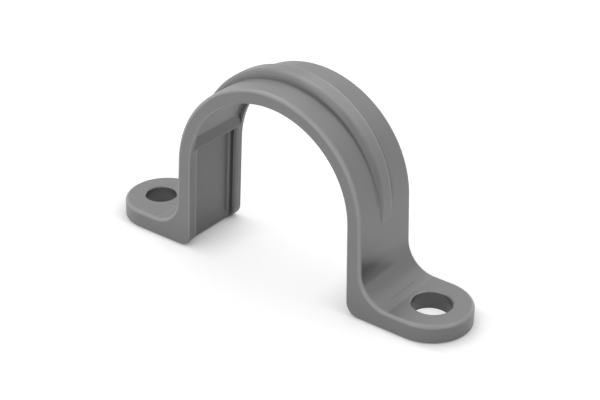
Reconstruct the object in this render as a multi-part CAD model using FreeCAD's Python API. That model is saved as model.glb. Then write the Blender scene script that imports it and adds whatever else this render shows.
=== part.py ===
"""Two-hole strap for round conduit, moulded in one piece from grey plastic. Millimetres, +Z up.

The origin is on the mounting plane, straight below the conduit's axis. The conduit runs along Y,
and the two feet lie on either side of it, along X.
"""
import os

import FreeCAD
import Part
from math import cos, hypot, radians, sin, tan

# Conduit and its seat
conduit_diameter = 33.4
seat_clearance = 0.15
axis_height = 16.4

# Band: the arch and the two legs
width = 15.2
wall = 2.7
outer_splay = 3.0
inner_splay = 1.6
heel_radius = 2.5
outer_edge_radius = 0.65
inner_edge_chamfer = 0.3

# Feet
overall_length = 73.5
foot_thickness = 3.4
instep_radius = 5.6

# Screw holes, the left one smaller; each is set back from its foot's end
right_hole_diameter = 7.0
right_hole_setback = 7.15
left_hole_diameter = 5.8
left_hole_setback = 6.35
hole_rim_chamfer = 0.25

# Crescent rib on the arch's back
rib_height = 1.5
rib_width = 3.9
rib_side_lean = 10.0
rib_shoulder_radius = 1.2
rib_tip_drop = 1.0

# Hollows on the inside, between two rims
leg_rim_width = 2.4
arch_rim_width = 1.0
leg_recess_depth = 1.3
arch_recess_depth = 0.75
recess_corner_radius = 0.5
recess_mouth_chamfer = 0.3

# Ridge that parts the hollows at each shoulder, in degrees above the conduit's axis, and the ramp above it
ridge_low_angle = 10.5
ridge_high_angle = 11.5
ramp_angle = 7.0

# Sizes that follow from the ones above
seat_radius = conduit_diameter / 2 + seat_clearance
outer_radius = seat_radius + wall
end_radius = width / 2
end_centre = overall_length / 2 - end_radius
leg_recess_half_width = width / 2 - leg_rim_width
arch_recess_half_width = width / 2 - arch_rim_width
crest_height = axis_height + outer_radius + rib_height

# The legs' two faces: the radius of the arch above, and the lean out towards the foot
OUTSIDE = (outer_radius, radians(outer_splay))
INSIDE = (seat_radius, radians(inner_splay))

# How near counts as touching, and how many places along an edge are tried for it
TOUCH = 1e-4
TRIES = 5


def at(x, z, y=0.0):
    return FreeCAD.Vector(x, y, z)


def on_circle(radius, angle, side=1, centre_x=0.0, centre_z=axis_height):
    """A point at an angle in radians above the horizontal, mirrored to the left where side is -1."""
    return at(side * (centre_x + radius * cos(angle)), centre_z + radius * sin(angle))


def line(start, end):
    return Part.LineSegment(start, end).toShape()


def arc(start, middle, end):
    return Part.Arc(start, middle, end).toShape()


def leg_x(face, z):
    """X of a leg's outer or inner face, which leaves the arch's circle as its tangent, on the right."""
    radius, splay = face
    return radius / cos(splay) + (axis_height - z) * tan(splay)


def floor_arc(face, floor_z, radius, side, shift=0.0):
    """The arc that turns from a leg's face into a level face below it, with its two ends."""
    splay = face[1]
    centre_z = floor_z + radius
    centre_x = leg_x(face, centre_z) + shift + radius / cos(splay)
    first, last = radians(180) + splay, radians(270)
    points = [on_circle(radius, a, side, centre_x, centre_z) for a in (first, (first + last) / 2, last)]
    return arc(*points), points[0], points[2]


def outer_outline():
    """Edges of the outside, from foot to foot over the arch."""
    splay = OUTSIDE[1]
    top = [on_circle(outer_radius, a) for a in (splay, radians(90), radians(180) - splay)]
    edges = [arc(*top)]
    for side, shoulder in ((1, top[0]), (-1, top[2])):
        instep, leg_end, foot_start = floor_arc(OUTSIDE, foot_thickness, instep_radius, side)
        foot_end = at(side * overall_length / 2, foot_thickness)
        edges += [line(shoulder, leg_end), instep, line(foot_start, foot_end)]
    return edges


def seat_outline():
    """The seat's circle in arcs, so that the ridge at each shoulder is a face of its own."""
    splay, low, high = INSIDE[1], radians(ridge_low_angle), radians(ridge_high_angle)
    edges = [arc(*[on_circle(seat_radius, a) for a in (high, radians(90), radians(180) - high)])]
    for side in (1, -1):
        for first, last in ((splay, low), (low, high)):
            edges.append(arc(*[on_circle(seat_radius, a, side) for a in (first, (first + last) / 2, last)]))
    return edges


def leg_line(side):
    """The straight stretch of a leg's inner face."""
    _, leg_end, _ = floor_arc(INSIDE, 0.0, heel_radius, side)
    return line(on_circle(seat_radius, INSIDE[1], side), leg_end)


def heel_outline():
    """The legs' inner faces and the heels that turn them into the soles."""
    edges = []
    for side in (1, -1):
        heel, _, _ = floor_arc(INSIDE, 0.0, heel_radius, side)
        edges += [leg_line(side), heel]
    return edges


def sole_outline():
    """Edges of the undersides of the feet."""
    edges = []
    for side in (1, -1):
        _, _, sole_start = floor_arc(INSIDE, 0.0, heel_radius, side)
        edges.append(line(sole_start, at(side * overall_length / 2, 0.0)))
    return edges


def prism(edges, half_width):
    """A closed outline in the XZ plane, drawn out to both sides of it."""
    wire = Part.Wire(Part.__sortEdges__(edges))
    face = Part.Face(wire)
    face.translate(FreeCAD.Vector(0, -half_width, 0))
    return face.extrude(FreeCAD.Vector(0, 2 * half_width, 0))


def plan_column():
    """A column of the strap's outline seen from above: straight sides and full-round ends."""
    points = []
    for side in (1, -1):
        x = side * end_centre
        tip = at(x + side * end_radius, 0)
        points.append((at(x, 0, -side * end_radius), tip, at(x, 0, side * end_radius)))
    (a, b, c), (d, e, f) = points
    wire = Part.Wire([arc(a, b, c), line(c, d), arc(d, e, f), line(f, a)])
    return Part.Face(wire).extrude(FreeCAD.Vector(0, 0, crest_height))


def edges_along(solid, outline):
    """The solid's long edges that follow an outline when seen along Y."""
    chosen = []
    for edge in solid.Edges:
        box = edge.BoundBox
        if hypot(box.XLength, box.ZLength) < TOUCH:
            continue
        samples = edge.discretize(TRIES)
        if all(outline.distToShape(Part.Vertex(at(p.x, p.z)))[0] < TOUCH for p in samples):
            chosen.append(edge)
    return chosen


def band():
    """Arch, legs and feet: rounded along the outside, and lightly chamfered along the inside."""
    outer, inner, soles = outer_outline(), seat_outline() + heel_outline(), sole_outline()
    ends = [line(at(s * overall_length / 2, 0), at(s * overall_length / 2, foot_thickness)) for s in (1, -1)]
    solid = prism(outer + inner + soles + ends, width / 2).common(plan_column())
    solid = solid.makeFillet(outer_edge_radius, edges_along(solid, Part.Compound(outer)))
    return solid.makeChamfer(inner_edge_chamfer, edges_along(solid, Part.Compound(inner)))


def rib_section():
    """The rib's section across its crest, in the YZ plane: leaning sides and two round shoulders."""
    lean = radians(rib_side_lean)
    root_z = crest_height - rib_height - wall
    half_root = rib_width / 2 + (crest_height - root_z) * tan(lean)
    centre_y = rib_width / 2 - rib_shoulder_radius * tan((radians(90) - lean) / 2)
    sides = []
    for side in (1, -1):
        points = []
        for angle in (radians(90), (radians(90) + lean) / 2, lean):
            y = centre_y + rib_shoulder_radius * cos(angle)
            points.append(at(0, crest_height - rib_shoulder_radius * (1 - sin(angle)), side * y))
        sides.append((points, at(0, root_z, side * half_root)))
    (right, right_root), (left, left_root) = sides
    edges = [line(left[0], right[0]), arc(*right), line(right[2], right_root)]
    edges += [line(right_root, left_root), line(left_root, left[2]), arc(*left)]
    return Part.Face(Part.Wire(Part.__sortEdges__(edges)))


def rib():
    """The rib, bent on a circle that lies above the arch's and dips into it at both ends."""
    tip_z = axis_height - rib_tip_drop
    tip_x = leg_x(OUTSIDE, tip_z)
    centre_z = (crest_height**2 - tip_x**2 - tip_z**2) / (2 * (crest_height - tip_z))
    across = FreeCAD.Vector(0, 1, 0)
    ring = rib_section().revolve(at(0, centre_z), across, 360)
    core = Part.makeCylinder(seat_radius + wall / 2, 2 * width, at(0, axis_height, -width), across)
    reach = crest_height - centre_z + wall
    upper = Part.makeBox(2 * reach, 2 * reach, reach + wall, at(-reach, tip_z - wall, -reach))
    return ring.cut(core).common(upper)


def leg_recess(side):
    """The hollow in a leg's inner face, between its rims and open at the sole."""
    top_z = on_circle(seat_radius, radians(ridge_low_angle)).z
    turn, low, sole = floor_arc(INSIDE, 0.0, recess_corner_radius, side, leg_recess_depth)
    top = at(side * (leg_x(INSIDE, top_z) + leg_recess_depth), top_z)
    middle_x = side * seat_radius / 2
    corners = [top, at(middle_x, top_z), at(middle_x, -wall), at(sole.x, -wall), sole]
    edges = [turn, line(low, top)] + [line(a, b) for a, b in zip(corners, corners[1:])]
    cutter = prism(edges, leg_recess_half_width)
    floor = Part.Compound([line(low, top)])
    return cutter.makeFillet(min(recess_corner_radius, leg_rim_width / 2), edges_along(cutter, floor))


def arch_recess():
    """The shallower hollow under the arch, ramped out to the ridge at each shoulder."""
    floor_radius = seat_radius + arch_recess_depth
    foot = radians(ridge_high_angle)
    head = radians(ridge_high_angle + ramp_angle)
    ends = []
    for side in (1, -1):
        high, low = on_circle(floor_radius, head, side), on_circle(seat_radius, foot, side)
        ends.append((high, low + (low - high)))
    floor = arc(ends[0][0], on_circle(floor_radius, radians(90)), ends[1][0])
    edges = [floor, line(*ends[0]), line(ends[0][1], ends[1][1]), line(*ends[1])]
    return prism(edges, arch_recess_half_width)


def screw_hole(x, diameter):
    """A drill of the hole's size that flares out from just below the foot's top, to break the rim's edge."""
    radius = diameter / 2
    flare_z = foot_thickness - hole_rim_chamfer
    flare = wall + hole_rim_chamfer
    drill = Part.makeCylinder(radius, flare_z + wall, at(x, -wall))
    cone = Part.makeCone(radius, radius + flare, flare, at(x, flare_z))
    return drill.fuse(cone)


def recess_mouths(solid):
    """The long edges where the legs' recesses open into their inner faces."""
    outline = Part.Compound([leg_line(1), leg_line(-1)])
    return [e for e in edges_along(solid, outline) if abs(e.CenterOfMass.y) < leg_recess_half_width + TOUCH]


def strap():
    solid = band().fuse(rib())
    solid = solid.cut([
        arch_recess(),
        leg_recess(1),
        leg_recess(-1),
        screw_hole(overall_length / 2 - right_hole_setback, right_hole_diameter),
        screw_hole(left_hole_setback - overall_length / 2, left_hole_diameter),
    ])
    return solid.makeChamfer(recess_mouth_chamfer, recess_mouths(solid))


def main():
    os.makedirs("parts", exist_ok=True)
    solid = strap().Solids[0]
    solid.exportStep("parts/strap.step")


main()
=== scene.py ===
"""Looks of a two-hole conduit strap: moulded grey plastic on a white floor.

Lengths are in metres, in the CAD part's frame: X from foot to foot, Y along the conduit, Z up.
"""

from math import cos, radians, sin

import bpy
from mathutils import Matrix, Vector


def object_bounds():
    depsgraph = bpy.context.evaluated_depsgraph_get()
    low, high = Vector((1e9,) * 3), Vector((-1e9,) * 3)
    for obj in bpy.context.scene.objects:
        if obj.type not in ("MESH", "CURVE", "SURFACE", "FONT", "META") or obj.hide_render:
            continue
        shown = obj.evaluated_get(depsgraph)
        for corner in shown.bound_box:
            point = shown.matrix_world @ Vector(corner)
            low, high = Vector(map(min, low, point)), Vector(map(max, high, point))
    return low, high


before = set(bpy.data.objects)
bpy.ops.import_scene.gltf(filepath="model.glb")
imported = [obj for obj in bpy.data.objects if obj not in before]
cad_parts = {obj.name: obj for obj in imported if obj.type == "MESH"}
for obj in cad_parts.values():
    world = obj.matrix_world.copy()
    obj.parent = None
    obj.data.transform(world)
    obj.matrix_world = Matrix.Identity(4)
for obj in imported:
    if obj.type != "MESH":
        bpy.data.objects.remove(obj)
cad_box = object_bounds()

# Camera: its place, its turn in degrees, its lens and sensor in millimetres, and how near and far it sees
CAMERA_PLACE = (0.1345, -0.1821, 0.1396)
CAMERA_AZIMUTH = 36.07
CAMERA_ELEVATION = 29.27
CAMERA_ROLL = 1.25
CAMERA_LENS = 89.3
SENSOR_WIDTH = 36.0
CAMERA_REACH = (0.01, 100)

# Light: the even sky's strength, and how far off and how far across each lamp is
SKY_LEVEL = 0.21
LAMP_DISTANCE = 1.2
LAMP_SIZE = 0.9

# Each lamp as seen from the origin: its turn from +X and its height in degrees, and its power in watts
LAMPS = {
    "low_back": (90, 12, 1.0),
    "low_left": (180, 12, 0.8),
    "low_front_left": (225, 12, 1.8),
    "low_front": (270, 12, 2.4),
    "low_front_right": (315, 12, 1.1),
    "right": (0, 35, 1.3),
    "back": (90, 35, 0.3),
    "front": (265, 48, 1.1),
    "high_back_right": (45, 60, 1.8),
    "high_back_left": (135, 60, 3.0),
    "high_left": (200, 60, 1.9),
}

# Floor: its size, its gap below the soles, its grey, and the lift that makes it white to look at
FLOOR_SIZE = 1.6
FLOOR_GAP = 0.00002
FLOOR_GREY = 0.6
FLOOR_LIFT = 0.64

# Plastic: the two greys that its mottle lies between, the grey of its painted edge highlights, the grey of
# its painted shade and crease line, and its gloss
DARK_GREY = 0.195
LIGHT_GREY = 0.225
HIGHLIGHT_GREY = 0.36
SHADE_AND_CREASE_GREY = 0.045
ROUGHNESS = 0.4
ROUGHNESS_SPREAD = 0.08
REFRACTION = 1.5
GLOSS = 0.9

# Mottle and moulded grain: features to a metre, finer layers within them, and the grain's depth
MOTTLE_SCALE = 220
MOTTLE_LAYERS = 4
GRAIN_SCALE = 2600
GRAIN_LAYERS = 2
GRAIN_DEPTH = 0.00001

# The strap's own sizes, which its marks follow. Radii start from the conduit's axis, and spans from X = 0
HALF_LENGTH, HALF_WIDTH, HEIGHT = cad_box[1]
AXIS_HEIGHT = 0.0164
BACK_RADIUS = 0.01955
CREST_RADIUS = HEIGHT - AXIS_HEIGHT
FOOT_THICKNESS = 0.0034
FOOT_START = 0.022
FOOT_TOP = FOOT_THICKNESS + 0.00005
RECESS_HALF_WIDTH = HALF_WIDTH - 0.0021
RECESS_SPAN = 0.019
INNER_SPAN = 0.0178
RIDGE_HEIGHT = 0.0194

# Screw holes, right and left: each one's place along X and its radius. The margin takes in their walls
HOLES = ((HALF_LENGTH - 0.00715, 0.0035), (0.00635 - HALF_LENGTH, 0.0029))
HOLE_MARGIN = 0.00005

# In the blocks below, each RISE is the place where a mark begins and the place from which it is full

# Contact shadow: its reach from the strap, its rise towards the strap's middle line, and its least share
CONTACT_REACH = 0.009
CONTACT_RISE = (HALF_WIDTH + 0.0014, HALF_WIDTH - 0.0006)
CONTACT_LEAST = 0.25

# Painted highlight, with real polish: the edges are painted paler and made less rough. Its level on all
# places, how far across the band's edges begin, and what the recesses' front mouths and the right side of
# the rib's crest have of it
HIGHLIGHT_AND_POLISH_LEVEL = 0.9
EDGE_START = 0.0045
MOUTH_HIGHLIGHT = 0.8
MOUTH_LINE = (-RECESS_HALF_WIDTH - 0.0003, -RECESS_HALF_WIDTH)
RIB_HIGHLIGHT = 0.55
RIB_HIGHLIGHT_RISE = (CREST_RADIUS - 0.00095, CREST_RADIUS - 0.00015)
RIB_HIGHLIGHT_SIDE_RISE = (0.0, 0.006)

# Painted shade in the holes, on the recesses' floors, walls and back rims, on the ramps, and towards the
# soles
HOLE_SHADE = 0.8
RECESS_SHADE = 0.2
RECESS_RISE = (0.0047, 0.0042)
WALL_SHADE = 0.8
WALL_RISE = (0.0048, 0.0052)
RIM_SHADE = 0.8
RIM_RISE = (HALF_WIDTH - 0.0007, RECESS_HALF_WIDTH)
RAMP_SHADE = 0.55
RAMP_HALF_WIDTH = HALF_WIDTH - 0.001
RAMP_TOP = 0.0218
SOLE_SHADE = 0.2
SOLE_RISE = (0.007, 0.001)

# Painted shade on the rib's sides, in the corners at its roots, and on the front flank of its right half
RIB_REACH = 0.003
RIB_SHADE = 0.42
BACK_START = BACK_RADIUS - 0.00035
ROOT_SHADE = 0.35
ROOT_HALF_WIDTH = 0.0023
ROOT_SIDE_RISE = (0.0029, ROOT_HALF_WIDTH)
ROOT_DEPTH_RISE = (BACK_RADIUS + 0.00035, BACK_RADIUS + 0.00015)
ROOT_HEIGHT_RISE = (0.0175, 0.021)
FLANK_SHADE = 0.38
FLANK_SIDE_RISE = (-0.0008, -0.0016)
FLANK_LENGTH_RISE = (0.0075, 0.013)
FLANK_HEIGHT_RISE = (0.0195, 0.025)

# Painted shade in both insteps, and a leaning wedge of painted shade in the right one, which both fade out
# above and below
INSTEP_START = 0.0198
INSTEP_HALF_WIDTH = HALF_WIDTH - 0.0005
INSTEP_CORNER_SHADE = 0.24
INSTEP_CORNER_LOW_RISE = (FOOT_THICKNESS, 0.005)
INSTEP_CORNER_HIGH_RISE = (0.0105, 0.0075)
WEDGE_SHADE = 0.85
WEDGE_LOW_RISE = (0.0058, 0.0071)
WEDGE_HIGH_RISE = (0.0092, 0.0066)
WEDGE_LEAN = 0.45

# Crease at the right instep's end: its place and half width along X, its ends across, and its bottom
CREASE_DARKNESS = 0.4
CREASE_PLACE = 0.02395
CREASE_HALF_WIDTH = 0.00012
CREASE_ENDS = (-0.0038, 0.0034)
CREASE_BOTTOM = FOOT_THICKNESS - 0.00045


def new_material(name):
    """An empty node material, as the material, the tree to build it in, and its output."""
    material = bpy.data.materials.new(name)
    material.use_nodes = True
    tree = material.node_tree
    tree.nodes.clear()
    output = tree.nodes.new("ShaderNodeOutputMaterial")
    return material, tree, output


def feed(tree, socket, value):
    """Gives a socket a value of its own, or links it where the value is another socket."""
    if isinstance(value, bpy.types.NodeSocket):
        tree.links.new(value, socket)
    else:
        socket.default_value = value


def add(tree, kind, **inputs):
    """A node with its inputs, where an underscore stands for each space in an input's name."""
    node = tree.nodes.new(kind)
    for name, value in inputs.items():
        feed(tree, node.inputs[name.replace("_", " ")], value)
    return node


def calculate(tree, operation, *values):
    """The result of a math node over numbers and sockets."""
    node = tree.nodes.new("ShaderNodeMath")
    node.operation = operation
    for socket, value in zip(node.inputs, values):
        feed(tree, socket, value)
    return node.outputs["Value"]


def grey(level):
    """A plain grey of this level, as a colour."""
    return (level, level, level, 1)


def mix(tree, factor, first, second):
    """A colour that turns from the first to the second as the factor goes from 0 to 1."""
    node = add(tree, "ShaderNodeMix")
    node.data_type = "RGBA"
    feed(tree, node.inputs["Factor"], factor)
    colours = [socket for socket in node.inputs if socket.type == "RGBA"]
    for socket, colour in zip(colours, (first, second)):
        feed(tree, socket, colour)
    return next(socket for socket in node.outputs if socket.type == "RGBA")


def noise(tree, place, scale, layers):
    return add(tree, "ShaderNodeTexNoise", Vector=place, Scale=scale, Detail=layers).outputs["Fac"]


def parts(tree, vector):
    """A vector's numbers along X, Y and Z."""
    return add(tree, "ShaderNodeSeparateXYZ", Vector=vector).outputs


def object_place(tree):
    """Where a point lies in its object's own frame, which is the part's frame."""
    return add(tree, "ShaderNodeTexCoord").outputs["Object"]


def object_normal(tree):
    """Which way the surface faces in the part's frame."""
    normal = add(tree, "ShaderNodeNewGeometry").outputs["Normal"]
    turn = add(tree, "ShaderNodeVectorTransform", Vector=normal)
    turn.vector_type = "NORMAL"
    turn.convert_from = "WORLD"
    turn.convert_to = "OBJECT"
    return turn.outputs["Vector"]


def magnitude(tree, value):
    return calculate(tree, "ABSOLUTE", value)


def opposite(tree, share):
    return calculate(tree, "SUBTRACT", 1, share)


def above(tree, value, limit):
    """1 where a value is greater than the limit, and 0 elsewhere."""
    return calculate(tree, "GREATER_THAN", value, limit)


def below(tree, value, limit):
    """1 where a value is less than the limit, and 0 elsewhere."""
    return calculate(tree, "LESS_THAN", value, limit)


def within(tree, value, limit):
    """1 where a value is nearer to 0 than the limit, and 0 elsewhere."""
    return below(tree, magnitude(tree, value), limit)


def between(tree, value, low, high):
    """1 where a value lies between two limits, and 0 elsewhere."""
    return all_of(tree, above(tree, value, low), below(tree, value, high))


def ramp(tree, value, rise):
    """Goes smoothly from 0 at the rise's first end to 1 at its second, which may be the lower one."""
    node = add(tree, "ShaderNodeMapRange", Value=value, From_Min=rise[0], From_Max=rise[1])
    node.interpolation_type = "SMOOTHSTEP"
    return node.outputs["Result"]


def all_of(tree, *shares):
    product = shares[0]
    for share in shares[1:]:
        product = calculate(tree, "MULTIPLY", product, share)
    return product


def most_of(tree, *shares):
    most = shares[0]
    for share in shares[1:]:
        most = calculate(tree, "MAXIMUM", most, share)
    return most


def length(tree, first, second):
    """How long a line is that goes this far in two directions at right angles."""
    squares = all_of(tree, first, first), all_of(tree, second, second)
    return calculate(tree, "SQRT", calculate(tree, "ADD", *squares))


def from_axis(tree, spot):
    """How far a point is from the conduit's axis."""
    return length(tree, spot["X"], calculate(tree, "SUBTRACT", spot["Z"], AXIS_HEIGHT))


def halfway(tree, value):
    """1 where a normal lies halfway towards an axis, as on a rounded edge, and 0 along it or across it."""
    share = magnitude(tree, value)
    rest = opposite(tree, all_of(tree, share, share))
    return all_of(tree, share, calculate(tree, "SQRT", rest), 2)


def outside_holes(tree, along, across):
    """0 in the screw holes and on their walls, and 1 elsewhere."""
    shares = []
    for place, radius in HOLES:
        distance = length(tree, calculate(tree, "SUBTRACT", along, place), across)
        shares.append(above(tree, distance, radius + HOLE_MARGIN))
    return all_of(tree, *shares)


def inner_faces(tree, spot):
    """1 on the legs' inner faces, up to the ridge at each shoulder, and 0 elsewhere."""
    return all_of(tree, within(tree, spot["X"], INNER_SPAN), below(tree, spot["Z"], RIDGE_HEIGHT))


def rib_highlight(tree, spot):
    """Painted highlight on the right side of the rib's crest, where it stands highest."""
    on_arch = above(tree, spot["Z"], AXIS_HEIGHT)
    high = ramp(tree, from_axis(tree, spot), RIB_HIGHLIGHT_RISE)
    return all_of(tree, on_arch, high, ramp(tree, spot["X"], RIB_HIGHLIGHT_SIDE_RISE), RIB_HIGHLIGHT)


def painted_highlight_and_polish(tree, spot, facing):
    """How much painted highlight the plastic gets, with real polish that makes it smoother, found on the
    edges from the way that the surface faces.
    """
    along, across, up = spot
    foot = all_of(tree, above(tree, magnitude(tree, along), FOOT_START), below(tree, up, FOOT_TOP))
    foot_edges = all_of(tree, foot, halfway(tree, facing["Z"]))
    outer = above(tree, magnitude(tree, across), EDGE_START)
    band_edges = all_of(tree, opposite(tree, foot), outer, halfway(tree, facing["Y"]))
    mouths = all_of(tree, inner_faces(tree, spot), between(tree, across, *MOUTH_LINE), MOUTH_HIGHLIGHT)
    places = most_of(tree, foot_edges, band_edges, mouths, rib_highlight(tree, spot))
    return all_of(tree, places, HIGHLIGHT_AND_POLISH_LEVEL)


# Painted shade in the screw holes and on their walls
def hole_shade(tree, spot):
    return all_of(tree, opposite(tree, outside_holes(tree, spot["X"], spot["Y"])), HOLE_SHADE)


def recess_shade(tree, spot):
    """Painted shade on the legs' recesses, most of all on their side walls."""
    along, across, up = spot
    sideways = magnitude(tree, across)
    inside = all_of(tree, within(tree, along, RECESS_SPAN), within(tree, across, RECESS_HALF_WIDTH))
    floor = all_of(tree, ramp(tree, sideways, RECESS_RISE), RECESS_SHADE)
    wall = all_of(tree, ramp(tree, sideways, WALL_RISE), WALL_SHADE)
    return all_of(tree, inside, below(tree, up, RIDGE_HEIGHT), most_of(tree, floor, wall))


def rim_shade(tree, spot):
    """Painted shade on the rim behind each leg's recess."""
    across = spot["Y"]
    rim = all_of(tree, inner_faces(tree, spot), above(tree, across, RECESS_HALF_WIDTH))
    return all_of(tree, rim, ramp(tree, across, RIM_RISE), RIM_SHADE)


def ramp_shade(tree, spot):
    """Painted shade on the ramps that lead from the ridges into the arch's recess."""
    along, across, up = spot
    slope = all_of(tree, within(tree, along, INNER_SPAN), within(tree, across, RAMP_HALF_WIDTH))
    return all_of(tree, slope, between(tree, up, RIDGE_HEIGHT, RAMP_TOP), RAMP_SHADE)


def rib_shade(tree, spot, facing):
    """Painted shade on the rib's sides, in the corners at its roots, and on the front flank of its right
    half.
    """
    along, across, up = spot
    radius = from_axis(tree, spot)
    sideways = magnitude(tree, facing["Y"])
    sides = all_of(tree, within(tree, across, RIB_REACH), sideways, sideways, RIB_SHADE)
    beside = ramp(tree, magnitude(tree, across), ROOT_SIDE_RISE)
    low = all_of(tree, ramp(tree, radius, ROOT_DEPTH_RISE), ramp(tree, up, ROOT_HEIGHT_RISE))
    roots = all_of(tree, beside, low, ROOT_SHADE)
    front = all_of(tree, above(tree, across, -ROOT_HALF_WIDTH), ramp(tree, across, FLANK_SIDE_RISE))
    right = all_of(tree, ramp(tree, along, FLANK_LENGTH_RISE), ramp(tree, up, FLANK_HEIGHT_RISE))
    flank = all_of(tree, front, right, FLANK_SHADE)
    on_back = above(tree, radius, BACK_START)
    return most_of(tree, sides, all_of(tree, on_back, most_of(tree, roots, flank)))


def instep_shade(tree, spot):
    """Painted shade in both insteps, and in the right one a wedge of painted shade that fades out from the
    front edge.
    """
    along, across, up = spot
    on_face = within(tree, across, INSTEP_HALF_WIDTH)
    outside = above(tree, magnitude(tree, along), INSTEP_START)
    height = calculate(tree, "MINIMUM", ramp(tree, up, INSTEP_CORNER_LOW_RISE), ramp(tree, up, INSTEP_CORNER_HIGH_RISE))
    corner_shade = all_of(tree, outside, on_face, height, INSTEP_CORNER_SHADE)
    leaning = calculate(tree, "MULTIPLY_ADD", across, WEDGE_LEAN, up)
    wedge = all_of(tree, ramp(tree, up, WEDGE_LOW_RISE), ramp(tree, leaning, WEDGE_HIGH_RISE))
    shade_wedge = all_of(tree, above(tree, along, INSTEP_START), on_face, wedge, WEDGE_SHADE)
    return most_of(tree, corner_shade, shade_wedge)


def crease_line(tree, spot):
    """A thin line across the right foot, where the instep ends."""
    along, across, up = spot
    line = within(tree, calculate(tree, "SUBTRACT", along, CREASE_PLACE), CREASE_HALF_WIDTH)
    stretch = between(tree, across, *CREASE_ENDS)
    return all_of(tree, line, stretch, above(tree, up, CREASE_BOTTOM), CREASE_DARKNESS)


def painted_shade_and_crease(tree, spot, facing):
    """How dark the painted shade and the crease line leave the plastic, with a little more painted shade
    towards the soles.
    """
    kinds = hole_shade, recess_shade, rim_shade, ramp_shade, instep_shade, crease_line
    places = most_of(tree, rib_shade(tree, spot, facing), *[kind(tree, spot) for kind in kinds])
    # Painted shade that grows towards the soles
    low = all_of(tree, ramp(tree, spot["Z"], SOLE_RISE), SOLE_SHADE)
    return opposite(tree, all_of(tree, opposite(tree, low), opposite(tree, places)))


def plastic_material():
    """Matt grey plastic with a faint mottle and a fine grain, painted paler as a highlight and smoother on
    its edges, and darkened by painted shade and a crease line.
    """
    material, tree, output = new_material("grey_plastic")
    place = object_place(tree)
    spot = parts(tree, place)
    facing = parts(tree, object_normal(tree))
    mottle = noise(tree, place, MOTTLE_SCALE, MOTTLE_LAYERS)
    grain = noise(tree, place, GRAIN_SCALE, GRAIN_LAYERS)
    highlight_and_polish = painted_highlight_and_polish(tree, spot, facing)
    # The mottled grey, painted paler on the edges as a highlight
    before_shade = mix(tree, highlight_and_polish, mix(tree, mottle, grey(DARK_GREY), grey(LIGHT_GREY)), grey(HIGHLIGHT_GREY))
    matt = calculate(tree, "MULTIPLY_ADD", mottle, ROUGHNESS_SPREAD, ROUGHNESS - ROUGHNESS_SPREAD / 2)
    bump = add(tree, "ShaderNodeBump", Height=grain, Strength=1, Distance=GRAIN_DEPTH)
    shader = add(
        tree,
        "ShaderNodeBsdfPrincipled",
        # Painted shade and the crease line darken the colour
        Base_Color=mix(tree, painted_shade_and_crease(tree, spot, facing), before_shade, grey(SHADE_AND_CREASE_GREY)),
        Roughness=calculate(tree, "MULTIPLY_ADD", highlight_and_polish, -ROUGHNESS_SPREAD, matt),
        IOR=REFRACTION,
        Specular_IOR_Level=GLOSS,
        Normal=bump.outputs["Normal"],
    )
    feed(tree, output.inputs["Surface"], shader.outputs["BSDF"])
    return material


def looked_at(tree):
    """1 where the camera or a reflection looks at a surface, and 0 where it only lights others."""
    rays = add(tree, "ShaderNodeLightPath").outputs
    return most_of(tree, rays["Is Camera Ray"], rays["Is Glossy Ray"], rays["Is Transmission Ray"])


def off_contact(tree):
    """1 on the open floor and in the screw holes, and less where the floor comes close to the strap."""
    along, across, _ = parts(tree, object_place(tree))
    weight = most_of(tree, ramp(tree, magnitude(tree, across), CONTACT_RISE), CONTACT_LEAST)
    open_share = add(tree, "ShaderNodeAmbientOcclusion", Distance=CONTACT_REACH).outputs["AO"]
    shut_share = all_of(tree, opposite(tree, open_share), outside_holes(tree, along, across))
    return opposite(tree, all_of(tree, weight, shut_share))


def floor_material():
    """Pale grey, and lifted to plain white where it is looked at, but for the strap's contact shadow."""
    material, tree, output = new_material("white_floor")
    lift = all_of(tree, looked_at(tree), off_contact(tree), FLOOR_LIFT)
    both = add(tree, "ShaderNodeAddShader")
    surfaces = (
        add(tree, "ShaderNodeBsdfDiffuse", Color=grey(FLOOR_GREY)).outputs["BSDF"],
        add(tree, "ShaderNodeEmission", Strength=lift).outputs["Emission"],
    )
    for socket, surface in zip(both.inputs, surfaces):
        feed(tree, socket, surface)
    feed(tree, output.inputs["Surface"], both.outputs["Shader"])
    return material


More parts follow.
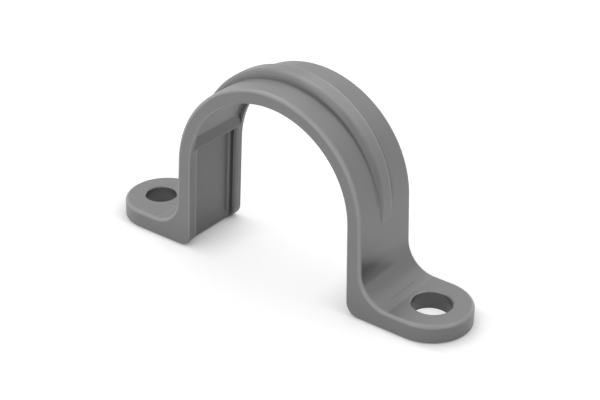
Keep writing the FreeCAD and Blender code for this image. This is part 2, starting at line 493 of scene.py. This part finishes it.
def build_camera():
    data = bpy.data.cameras.new("camera")
    data.sensor_width = SENSOR_WIDTH
    data.lens = CAMERA_LENS
    data.clip_start, data.clip_end = CAMERA_REACH
    camera = bpy.data.objects.new("camera", data)
    turn = (
        Matrix.Rotation(radians(CAMERA_AZIMUTH), 4, "Z")
        @ Matrix.Rotation(radians(90 - CAMERA_ELEVATION), 4, "X")
        @ Matrix.Rotation(radians(CAMERA_ROLL), 4, "Z")
    )
    camera.matrix_world = Matrix.Translation(CAMERA_PLACE) @ turn
    bpy.context.scene.collection.objects.link(camera)
    bpy.context.scene.camera = camera


def build_floor():
    bpy.ops.mesh.primitive_plane_add(size=FLOOR_SIZE, location=(0, 0, -FLOOR_GAP))
    floor = bpy.context.object
    floor.name = "floor"
    floor.data.materials.append(floor_material())


def build_sky():
    """An even sky, plain white where it is looked at."""
    world = bpy.data.worlds.new("studio")
    bpy.context.scene.world = world
    world.use_nodes = True
    tree = world.node_tree
    background = tree.nodes["Background"]
    background.inputs["Color"].default_value = grey(1)
    strength = calculate(tree, "MULTIPLY_ADD", looked_at(tree), 1 - SKY_LEVEL, SKY_LEVEL)
    feed(tree, background.inputs["Strength"], strength)


def direction(turn, height):
    """The way from the origin to a lamp, from its two angles in degrees."""
    level = cos(radians(height))
    return Vector((level * cos(radians(turn)), level * sin(radians(turn)), sin(radians(height))))


def build_lamps():
    """Round area lamps, each turned to the origin."""
    for name, (turn, height, power) in LAMPS.items():
        way = direction(turn, height)
        data = bpy.data.lights.new(name, "AREA")
        data.shape = "DISK"
        data.size = LAMP_SIZE
        data.energy = power
        lamp = bpy.data.objects.new(name, data)
        lamp.location = LAMP_DISTANCE * way
        lamp.rotation_mode = "QUATERNION"
        lamp.rotation_quaternion = (-way).to_track_quat("-Z", "Y")
        bpy.context.scene.collection.objects.link(lamp)


bpy.context.scene.view_settings.view_transform = "Standard"
build_camera()
build_floor()
build_sky()
build_lamps()

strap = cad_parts["strap"]
strap.data.materials.clear()
strap.data.materials.append(plastic_material())
